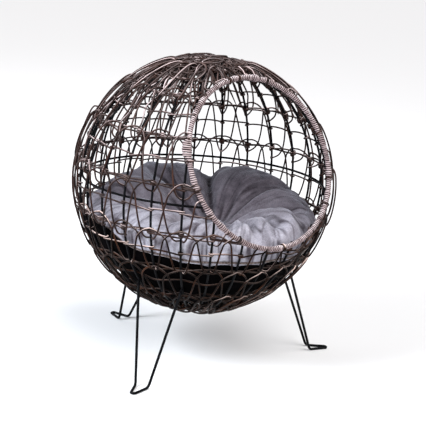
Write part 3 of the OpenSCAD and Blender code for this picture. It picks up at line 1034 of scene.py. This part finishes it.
def blown_up(cover):
    """Where cloth simulation with air pressure moves the cover's points."""
    cloth = cover.modifiers.new("cloth", "CLOTH")
    give(cloth.settings, quality=6, mass=0.3, tension_stiffness=12, compression_stiffness=12,
         shear_stiffness=6, bending_stiffness=0.3, use_pressure=True, uniform_pressure_force=4,
         shrink_min=-0.025, vertex_group_mass="held", pin_stiffness=1)
    cloth.settings.effector_weights.gravity = 0
    scene = bpy.context.scene
    for f in range(1, 21):
        scene.frame_set(f)
    moved = cover.evaluated_get(bpy.context.evaluated_depsgraph_get()).to_mesh()
    points = vertices_of(moved)
    cover.modifiers.remove(cloth)
    scene.frame_set(1)
    return points


def puff(cover):
    """Blows the cover up, rumples it, and marks its folds, gathers and rumples for painted shade in the
    material.
    """
    bpy.context.view_layer.objects.active = cover
    apply_modifier(cover, "REMESH", mode="VOXEL", voxel_size=5 * MM)
    start = vertices_of(cover.data)
    pin(cover, start - CENTRE)
    step = blown_up(cover) - start
    far = np.linalg.norm(step, axis=1)
    step *= np.minimum(1, MOST_PUFF / np.maximum(far, 1e-9))[:, None]
    own = start - CENTRE + step
    own = own + rumples(own)[1]
    own *= np.minimum(1, INNER_R / np.linalg.norm(own, axis=1))[:, None]
    cover.data.vertices.foreach_set("co", (own + CENTRE).ravel())
    apply_modifier(cover, "SMOOTH", factor=0.5, iterations=2)
    cover.data.shade_smooth()
    cover.vertex_groups.clear()
    apply_modifier(cover, "SUBSURF", levels=1, render_levels=1)
    own = vertices_of(cover.data) - CENTRE
    # Painted shade for the material: the folds, gathers and rumples, with the darker streaks of pile
    crease_shade_and_streaks = np.maximum(held_down(own, 4.5 * MM), rumples(own)[0])
    attribute = cover.data.attributes.new("crease_shade_and_streaks", "FLOAT", "POINT")
    attribute.data.foreach_set("value", crease_shade_and_streaks.astype(np.float32))


def plush_cover(rows):
    """The plush, whose hidden underside hangs in the lining's bowl."""
    under = [rows[-1] * [s, s, 1] - [0, 0, drop * MM] for s, drop in ((0.92, 16), (0.7, 50), (0.35, 80))]
    points, faces = close_rows(rows + under, PINCH, [0, 0, SEAM_Z - 90 * MM])
    cover = mesh_object("plush_cover", points + CENTRE, faces, PLUSH)
    puff(cover)
    place(cover, "cushion", "plush", "cushion_cover", "cushion_fill")


def lining(azimuth, seam):
    """The black cloth bowl below the seam, with an inner side just within its outer side."""
    angle = np.radians(azimuth)
    top_lat = np.arcsin((0.3 * MM - seam[:, 2]) / LINING_R)
    between = np.abs(np.sin(math.pi * (azimuth - FIRST_RIB) / BAY)) ** 1.2
    bowl = []
    for f in np.linspace(0, 1, 26):
        lat = top_lat + (FLOOR_LAT - top_lat) * f
        press = LINING_PRESS * min(1, (1 - f) * 3, f * 9 + 0.2) * between
        r = LINING_R + (press - 1.2 * f + 0.5 * wave_sum(angle + f, 31, 6, 7) - 0.5) * MM
        bowl.append(np.stack([r * np.cos(lat) * np.sin(angle), -r * np.cos(lat) * np.cos(angle),
                              -LINING_R * np.sin(lat)], -1))
    floor = np.array([0, 0, bowl[-1][:, 2].mean()])
    outer = bowl + [bowl[-1] * [s, s, 1] for s in (0.9, 0.6, 0.3)]
    inner = [INNER_SIDE * row for row in outer[::-1]]
    points, faces = close_rows(inner + outer, INNER_SIDE * floor, floor)
    cloth = mesh_object("lining_base", points + CENTRE, faces, LINING)
    place(cloth, "cushion", "base_cloth", "cushion_base")


def piping(azimuth, seam):
    """The seam itself, a little uneven."""
    tubes = Tubes()
    uneven = 1 + 0.2 * wave_sum(np.radians(azimuth), 41, 8, 30)
    tubes.add(seam * [1.001, 1.001, 1] + CENTRE, PIPING_R * uneven, closed=True)
    place(tubes.build("cushion_piping", SEAM_FUZZ), "cushion", "plush")


def cushion():
    azimuth, rows = cushion_surface()
    plush_cover(rows)
    lining(azimuth, rows[-1])
    piping(azimuth, rows[-1])


# ---- stage

def stage():
    """A pale floor and soft studio light: an even sky, a broad sun and two softboxes."""
    bpy.ops.mesh.primitive_plane_add(size=60)
    floor = bpy.context.object
    floor.name = "floor"
    paint = Paint("pale_floor", Base_Color=(0.86, 0.86, 0.87, 1), Roughness=0.9)
    floor.data.materials.append(paint.material)
    world = bpy.data.worlds.new("studio")
    bpy.context.scene.world = world
    world.use_nodes = True
    sky = world.node_tree.nodes["Background"]
    sky.inputs["Color"].default_value = (0.95, 0.96, 1.0, 1)
    sky.inputs["Strength"].default_value = 0.25
    sun = bpy.data.lights.new("key", "SUN")
    give(sun, energy=3.4, angle=math.radians(60), color=(1.0, 0.985, 0.97))
    new_object("key", sun).rotation_euler = Vector(out_of(12, 50)).to_track_quat("Z", "Y").to_euler()
    softbox("left", (-2.1, 0.1, 1.7), size=0.9, power=85, colour=(0.9, 0.95, 1.0))
    softbox("back", (-0.4, 2.4, 1.9), size=1.2, power=18, colour=(0.97, 0.98, 1.0))


def softbox(name, at, size, power, colour):
    """A square light that faces the ball."""
    light = bpy.data.lights.new(name, "AREA")
    give(light, size=size, energy=power, color=colour)
    turn = (Vector(CENTRE) - Vector(at)).to_track_quat("-Z", "Y").to_euler()
    give(new_object(name, light), location=at, rotation_euler=turn)


CAMERA_AZIMUTH, CAMERA_ELEVATION, CAMERA_DISTANCE = -37.61, 12.5, 2.2438
CAMERA_ROLL = 4.22
# How far to the right of the ball's centre the camera aims, and how far below it
AIM_RIGHT, AIM_BELOW = 21 * MM, 50.5 * MM


def camera():
    """The camera stands a little above the ball, off to the left of the opening."""
    position = on_ball(CAMERA_AZIMUTH, CAMERA_ELEVATION, CAMERA_DISTANCE)
    target = CENTRE + AIM_RIGHT * east_of(CAMERA_AZIMUTH) - [0, 0, AIM_BELOW]
    lens = bpy.data.cameras.new("camera")
    give(lens, lens=108.3, sensor_width=36, clip_end=100)
    obj = new_object("camera", lens)
    aim = Vector(target - position).to_track_quat("-Z", "Y").to_matrix().to_4x4()
    roll = Matrix.Rotation(math.radians(CAMERA_ROLL), 4, "Z")
    obj.matrix_world = Matrix.Translation(position) @ aim @ roll
    bpy.context.scene.camera = obj


camera()
stage()
steel_frame()
rim_wrap()
ring_strands()
looping_strands()
crown()
base()
rim_companions()
for leg_name, (own_rib, foot_azimuth, ankle_mm) in LEGS.items():
    leg_wire(leg_name, own_rib, foot_azimuth, ankle_mm * MM)
cushion()

bpy.context.scene.view_settings.view_transform = "Standard"
